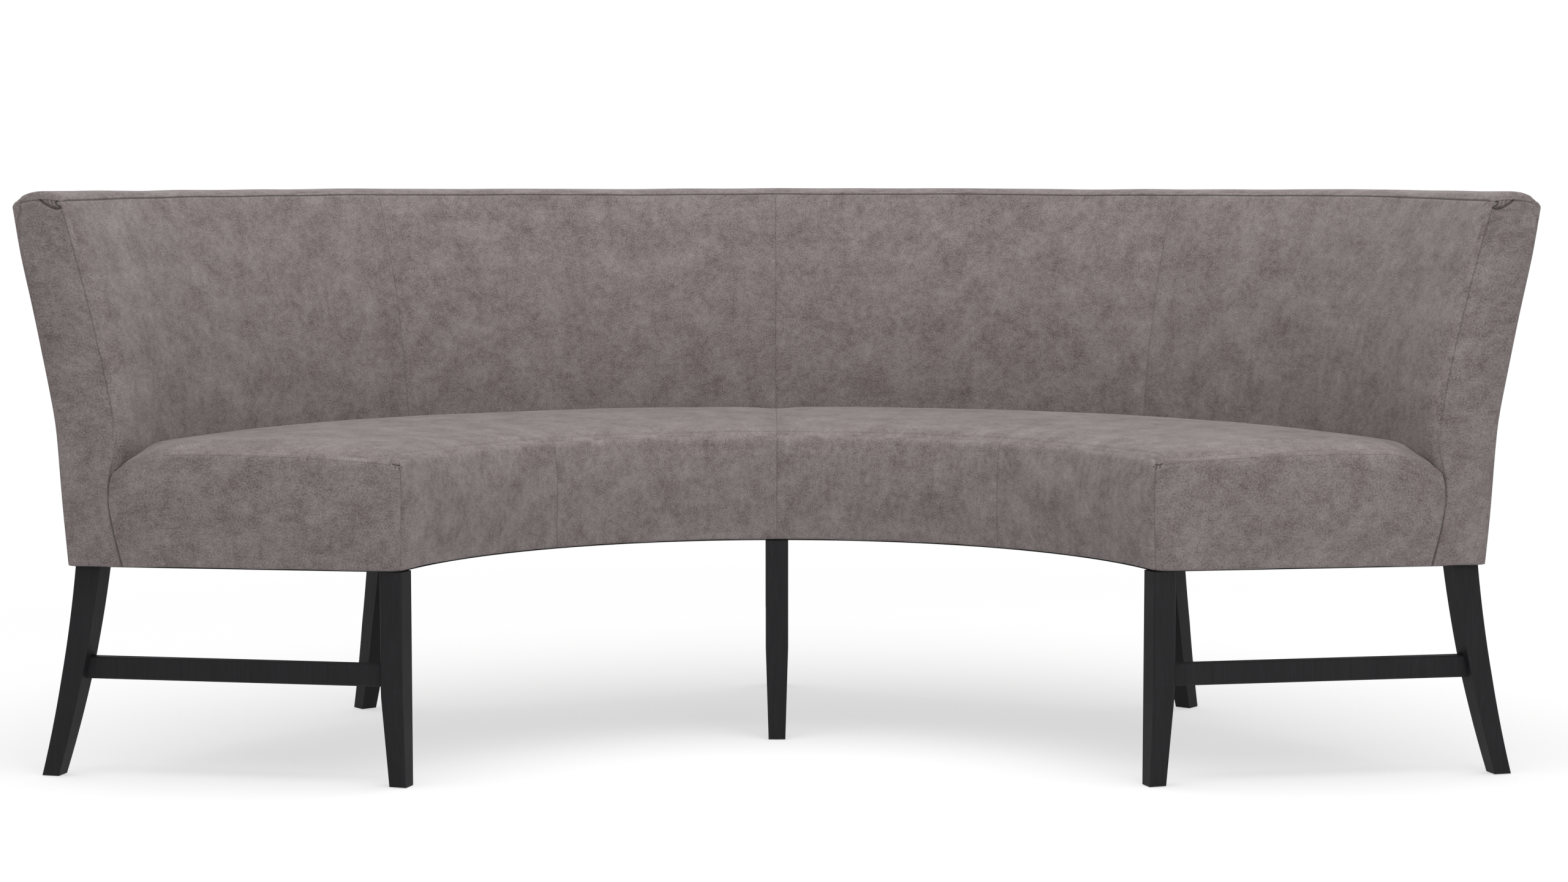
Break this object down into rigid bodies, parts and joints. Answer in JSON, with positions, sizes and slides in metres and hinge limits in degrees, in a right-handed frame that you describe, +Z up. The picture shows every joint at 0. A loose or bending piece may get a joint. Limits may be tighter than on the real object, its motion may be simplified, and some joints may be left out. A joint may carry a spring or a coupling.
{
  "type": "curved banquette bench",
  "caption": "Half-round upholstered dining banquette with a wrapping raked back, a padded seat with a concave front, and black timber legs joined by stretchers at both ends.",
  "frame": {"origin": "on the floor, under the middle of the bench's box", "axes": "+X to the right as seen from the open side, +Y to the back of the arc, +Z up"},
  "size_m": [2.2606, 0.9932, 0.88],
  "materials": {
    "cover": "soft matt, mottled like suede",
    "leg_wood": "near-black stain, matt lacquer",
    "frame_timber": "planed, unfinished",
    "foam": "polyurethane foam with wadding",
    "webbing": "woven elastic webbing",
    "dust_cloth": "black non-woven cloth",
    "glide": "nylon"
  },
  "bodies": {
    "root": {"leg_front_left": "leg_wood", "leg_front_centre": "leg_wood", "leg_front_right": "leg_wood", "leg_rear_left_end": "leg_wood", "leg_rear_left": "leg_wood", "leg_rear_centre": "leg_wood", "leg_rear_right": "leg_wood", "leg_rear_right_end": "leg_wood", "stretcher_left": "leg_wood", "stretcher_right": "leg_wood", "foot_glides": "glide", "stretcher_dowels": "frame_timber", "seat_front_rail": "frame_timber", "seat_rear_rail": "frame_timber", "seat_end_rail_left": "frame_timber", "seat_end_rail_right": "frame_timber", "seat_rib_left": "frame_timber", "seat_rib_centre": "frame_timber", "seat_rib_right": "frame_timber", "corner_blocks": "frame_timber", "rear_leg_blocks": "frame_timber", "back_post_left": "frame_timber", "back_post_centre": "frame_timber", "back_post_right": "frame_timber", "back_gable_left": "frame_timber", "back_gable_right": "frame_timber", "back_top_rail": "frame_timber", "back_lower_rail": "frame_timber", "seat_webbing": "webbing", "seat_foam": "foam", "back_foam": "foam", "seat_cover_top_left": "cover", "seat_cover_top_right": "cover", "seat_border_left": "cover", "seat_border_right": "cover", "seat_border_outer_left": "cover", "seat_border_outer_right": "cover", "seat_end_panel_left": "cover", "seat_end_panel_right": "cover", "back_inside_left": "cover", "back_inside_right": "cover", "back_inside_outer_left": "cover", "back_inside_outer_right": "cover", "back_outside_left": "cover", "back_outside_right": "cover", "back_end_cap_left": "cover", "back_end_cap_right": "cover", "back_top_band": "cover", "dust_cover": "dust_cloth"}
  },
  "joints": []
}
